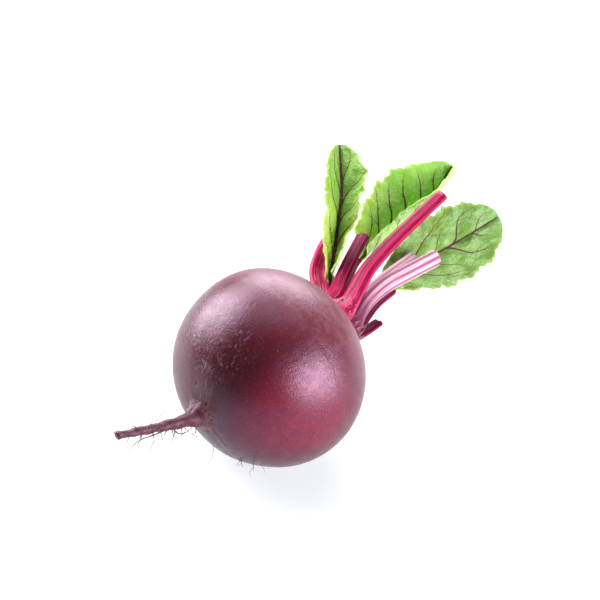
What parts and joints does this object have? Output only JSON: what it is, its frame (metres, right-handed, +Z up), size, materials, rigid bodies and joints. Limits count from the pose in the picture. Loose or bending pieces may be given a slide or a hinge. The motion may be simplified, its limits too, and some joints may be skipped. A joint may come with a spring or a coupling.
{
  "type": "beetroot",
  "caption": "Whole beetroot lying on its side, with a thin hairy taproot, a ringed crown, cut magenta leaf stalks and a few young green leaves.",
  "frame": {"origin": "middle of the small flat spot under the root, on the surface that it rests on", "axes": "+Z up; +X along the lying root, from the taproot toward the crown and the leaves; +Y to the left of that"},
  "size_m": [0.2001, 0.0806, 0.0921],
  "materials": {
    "skin": "satin, deep burgundy skin with fine specks and brown scars",
    "stalk": "satin, magenta with lighter ribs",
    "pale_stalk": "satin, pale pink ribs between purple grooves",
    "leaf": "satin, fresh green with dark red veins"
  },
  "bodies": {
    "root": {"root": "skin", "cut_stalk_left": "stalk", "cut_stalk_dark": "stalk", "cut_stalk_long": "stalk", "cut_stalk_pale_upper": "pale_stalk", "cut_stalk_pale_lower": "pale_stalk", "cut_stalk_shadow": "stalk", "cut_stalk_under": "stalk", "cut_stalk_under_far": "stalk", "cut_stalk_far": "stalk", "leaf_1_stalk": "stalk", "leaf_1_blade": "leaf", "leaf_2_stalk": "stalk", "leaf_2_blade": "leaf", "leaf_3_stalk": "stalk", "leaf_3_blade": "leaf"}
  },
  "joints": []
}
